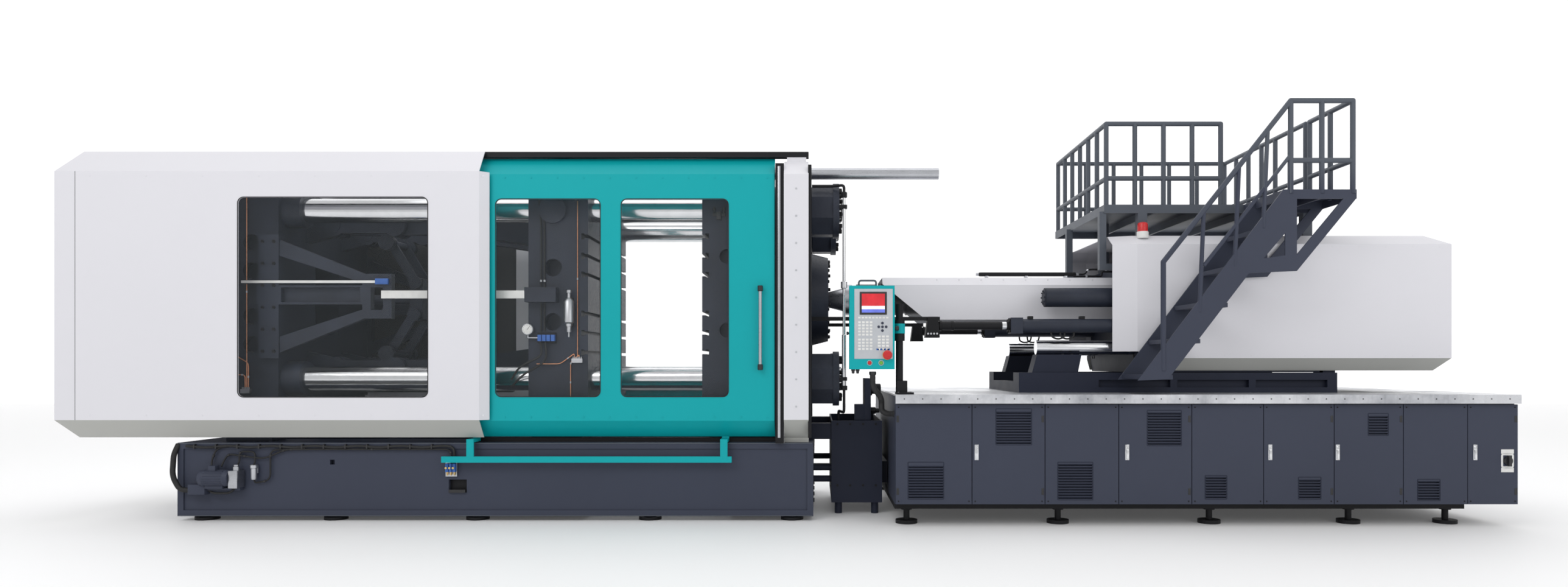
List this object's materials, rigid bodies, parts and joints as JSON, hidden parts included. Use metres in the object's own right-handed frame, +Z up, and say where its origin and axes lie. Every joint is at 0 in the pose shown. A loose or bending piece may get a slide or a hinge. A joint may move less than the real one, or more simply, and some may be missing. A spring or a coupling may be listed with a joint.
{
  "type": "injection moulding machine",
  "caption": "Long horizontal injection moulding machine: toggle clamp with sliding safety doors, heated barrel with covered injection unit, cabinet bed, stairs and platform.",
  "frame": {"origin": "on the floor under the middle of the machine's outline", "axes": "+X along the machine from the clamp to the injection unit, -Y towards the operator, +Z up"},
  "size_m": [11.91, 2.7, 3.446],
  "materials": {
    "white_panel": "satin powder coat, white",
    "teal_panel": "satin powder coat, teal",
    "slate_paint": "satin machine enamel, dark slate",
    "casting_paint": "satin enamel on iron casting",
    "black_paint": "satin black",
    "rail_grey": "satin grey",
    "chrome": "hard chrome, ground",
    "steel": "machined",
    "tread_plate": "raised-bar tread plate",
    "clear_pane": "clear polycarbonate",
    "dark_pane": "smoked polycarbonate",
    "red_plastic": "moulded",
    "green_plastic": "moulded",
    "black_plastic": "moulded"
  },
  "bodies": {
    "root": {"carriage_rails": "casting_paint", "clamp_bed": "slate_paint", "clamp_cover_back": "white_panel", "clamp_cover_end": "white_panel", "clamp_cover_front": "white_panel", "cover_windows": "dark_pane", "deck_plate": "tread_plate", "door_frame": "white_panel", "fixed_platen": "casting_paint", "injection_bed": "slate_paint", "levelling_pads": "black_paint", "panel_post": "black_paint", "pipe_trunk": "slate_paint", "power_pack": "black_paint", "rear_panels": "slate_paint", "tie_bar_nuts": "casting_paint", "tie_bars": "chrome", "traction_rods": "black_paint"},
    "rear_platen": {"rear_platen": "casting_paint", "adjusting_nuts": "casting_paint", "guide_brackets": "casting_paint", "clamp_cylinder": "black_paint"},
    "crosshead": {"crosshead": "steel"},
    "rear_link_upper": {"rear_link_upper": "steel"},
    "rear_link_lower": {"rear_link_lower": "steel"},
    "front_link_upper": {"front_link_upper": "steel"},
    "front_link_lower": {"front_link_lower": "steel"},
    "crosshead_link_upper": {"crosshead_link_upper": "steel"},
    "crosshead_link_lower": {"crosshead_link_lower": "steel"},
    "moving_platen": {"moving_platen": "casting_paint", "position_bar": "steel", "safety_rod": "steel"},
    "ejector": {"ejector_plate": "steel"},
    "front_door": {"front_door": "teal_panel", "front_door_windows": "clear_pane"},
    "back_door": {"back_door": "teal_panel", "back_door_windows": "clear_pane"},
    "control_panel": {"control_panel": "teal_panel"},
    "emergency_stop": {"emergency_stop": "red_plastic"},
    "start_button": {"start_button": "green_plastic"},
    "stop_button": {"stop_button": "red_plastic"},
    "carriage": {"carriage": "casting_paint", "barrel": "steel", "barrel_guard": "white_panel", "carriage_cylinders": "black_paint", "injection_cover": "white_panel", "platform": "rail_grey", "stairs": "slate_paint"},
    "injection_plate": {"injection_plate": "casting_paint"},
    "screw": {"screw": "chrome"},
    "switch_grip": {"switch_grip": "black_plastic"},
    "cabinet_door_1": {"cabinet_door_1": "slate_paint"},
    "cabinet_door_2": {"cabinet_door_2": "slate_paint"},
    "cabinet_door_3": {"cabinet_door_3": "slate_paint"},
    "cabinet_door_4": {"cabinet_door_4": "slate_paint"},
    "cabinet_door_5": {"cabinet_door_5": "slate_paint"},
    "cabinet_door_6": {"cabinet_door_6": "slate_paint"},
    "cabinet_door_7": {"cabinet_door_7": "slate_paint"},
    "cabinet_door_8": {"cabinet_door_8": "slate_paint"},
    "cabinet_door_9": {"cabinet_door_9": "slate_paint"}
  },
  "joints": [
    {"name": "mould_height", "type": "slide", "parent": "root", "child": "rear_platen", "axis": [1, 0, 0], "range_m": [0, 0.45]},
    {"name": "clamp_stroke", "type": "slide", "parent": "rear_platen", "child": "moving_platen", "axis": [1, 0, 0], "range_m": [-0.7, 0]},
    {"name": "crosshead_slide", "type": "slide", "parent": "rear_platen", "child": "crosshead", "axis": [1, 0, 0], "range_m": [-1.055, 0]},
    {"name": "rear_link_upper_pivot", "type": "hinge", "parent": "rear_platen", "child": "rear_link_upper", "pos_m": [-4.02, 0, 2.555], "axis": [0, 1, 0], "range_deg": [0, 74.5]},
    {"name": "rear_link_lower_pivot", "type": "hinge", "parent": "rear_platen", "child": "rear_link_lower", "pos_m": [-4.02, 0, 1.275], "axis": [0, 1, 0], "range_deg": [-74.5, 0]},
    {"name": "front_link_upper_pivot", "type": "hinge", "parent": "moving_platen", "child": "front_link_upper", "pos_m": [-2.88, 0, 2.555], "axis": [0, 1, 0], "range_deg": [-60.2, 0]},
    {"name": "front_link_lower_pivot", "type": "hinge", "parent": "moving_platen", "child": "front_link_lower", "pos_m": [-2.88, 0, 1.275], "axis": [0, 1, 0], "range_deg": [0, 60.2]},
    {"name": "crosshead_link_upper_pivot", "type": "hinge", "parent": "rear_link_upper", "child": "crosshead_link_upper", "pos_m": [-3.62, 0, 2.425], "axis": [0, 1, 0], "range_deg": [0, 38]},
    {"name": "crosshead_link_lower_pivot", "type": "hinge", "parent": "rear_link_lower", "child": "crosshead_link_lower", "pos_m": [-3.62, 0, 1.405], "axis": [0, 1, 0], "range_deg": [-38, 0]},
    {"name": "ejector_stroke", "type": "slide", "parent": "moving_platen", "child": "ejector", "axis": [1, 0, 0], "range_m": [0, 0.11]},
    {"name": "front_door_slide", "type": "slide", "parent": "root", "child": "front_door", "axis": [1, 0, 0], "range_m": [-2.2, 0]},
    {"name": "back_door_slide", "type": "slide", "parent": "root", "child": "back_door", "axis": [1, 0, 0], "range_m": [-2.2, 0]},
    {"name": "control_panel_swivel", "type": "hinge", "parent": "root", "child": "control_panel", "pos_m": [0.985, -1.18, 1.6], "axis": [0, 0, 1], "range_deg": [-40, 40]},
    {"name": "emergency_stop_press", "type": "slide", "parent": "control_panel", "child": "emergency_stop", "axis": [0, 1, 0], "range_m": [0, 0.008], "stiffness_N_per_m": 1500},
    {"name": "start_button_press", "type": "slide", "parent": "control_panel", "child": "start_button", "axis": [0, 1, 0], "range_m": [0, 0.005], "stiffness_N_per_m": 800},
    {"name": "stop_button_press", "type": "slide", "parent": "control_panel", "child": "stop_button", "axis": [0, 1, 0], "range_m": [0, 0.005], "stiffness_N_per_m": 800},
    {"name": "carriage_slide", "type": "slide", "parent": "root", "child": "carriage", "axis": [1, 0, 0], "range_m": [-0.45, 0]},
    {"name": "injection_stroke", "type": "slide", "parent": "carriage", "child": "injection_plate", "axis": [1, 0, 0], "range_m": [0, 0.5]},
    {"name": "screw_spin", "type": "hinge", "parent": "injection_plate", "child": "screw", "pos_m": [3, 0, 1.915], "axis": [1, 0, 0], "continuous": true},
    {"name": "cabinet_door_1_hinge", "type": "hinge", "parent": "root", "child": "cabinet_door_1", "pos_m": [0.945, -1.31, 0.58], "axis": [0, 0, -1], "range_deg": [0, 85]},
    {"name": "cabinet_door_2_hinge", "type": "hinge", "parent": "root", "child": "cabinet_door_2", "pos_m": [2.144, -1.31, 0.58], "axis": [0, 0, 1], "range_deg": [0, 85]},
    {"name": "cabinet_door_3_hinge", "type": "hinge", "parent": "root", "child": "cabinet_door_3", "pos_m": [2.15, -1.31, 0.58], "axis": [0, 0, -1], "range_deg": [0, 85]},
    {"name": "cabinet_door_4_hinge", "type": "hinge", "parent": "root", "child": "cabinet_door_4", "pos_m": [3.325, -1.31, 0.58], "axis": [0, 0, 1], "range_deg": [0, 85]},
    {"name": "cabinet_door_5_hinge", "type": "hinge", "parent": "root", "child": "cabinet_door_5", "pos_m": [3.331, -1.31, 0.58], "axis": [0, 0, -1], "range_deg": [0, 85]},
    {"name": "cabinet_door_6_hinge", "type": "hinge", "parent": "root", "child": "cabinet_door_6", "pos_m": [4.472, -1.31, 0.58], "axis": [0, 0, 1], "range_deg": [0, 85]},
    {"name": "cabinet_door_7_hinge", "type": "hinge", "parent": "root", "child": "cabinet_door_7", "pos_m": [5.028, -1.31, 0.58], "axis": [0, 0, 1], "range_deg": [0, 85]},
    {"name": "cabinet_door_8_hinge", "type": "hinge", "parent": "root", "child": "cabinet_door_8", "pos_m": [5.034, -1.31, 0.58], "axis": [0, 0, -1], "range_deg": [0, 85]},
    {"name": "cabinet_door_9_hinge", "type": "hinge", "parent": "root", "child": "cabinet_door_9", "pos_m": [5.952, -1.31, 0.58], "axis": [0, 0, 1], "range_deg": [0, 85]},
    {"name": "main_switch_turn", "type": "hinge", "parent": "cabinet_door_9", "child": "switch_grip", "pos_m": [5.868, -1.31, 0.532], "axis": [0, 1, 0], "range_deg": [0, 90]}
  ],
  "couplings": [
    {"joint": "crosshead_slide", "follows": "clamp_stroke", "ratio": 1.505},
    {"joint": "rear_link_upper_pivot", "follows": "clamp_stroke", "rad_per_m": -1.855},
    {"joint": "rear_link_lower_pivot", "follows": "clamp_stroke", "rad_per_m": 1.855},
    {"joint": "front_link_upper_pivot", "follows": "clamp_stroke", "rad_per_m": 1.4985},
    {"joint": "front_link_lower_pivot", "follows": "clamp_stroke", "rad_per_m": -1.4985},
    {"joint": "crosshead_link_upper_pivot", "follows": "clamp_stroke", "rad_per_m": -0.935},
    {"joint": "crosshead_link_lower_pivot", "follows": "clamp_stroke", "rad_per_m": 0.935}
  ]
}
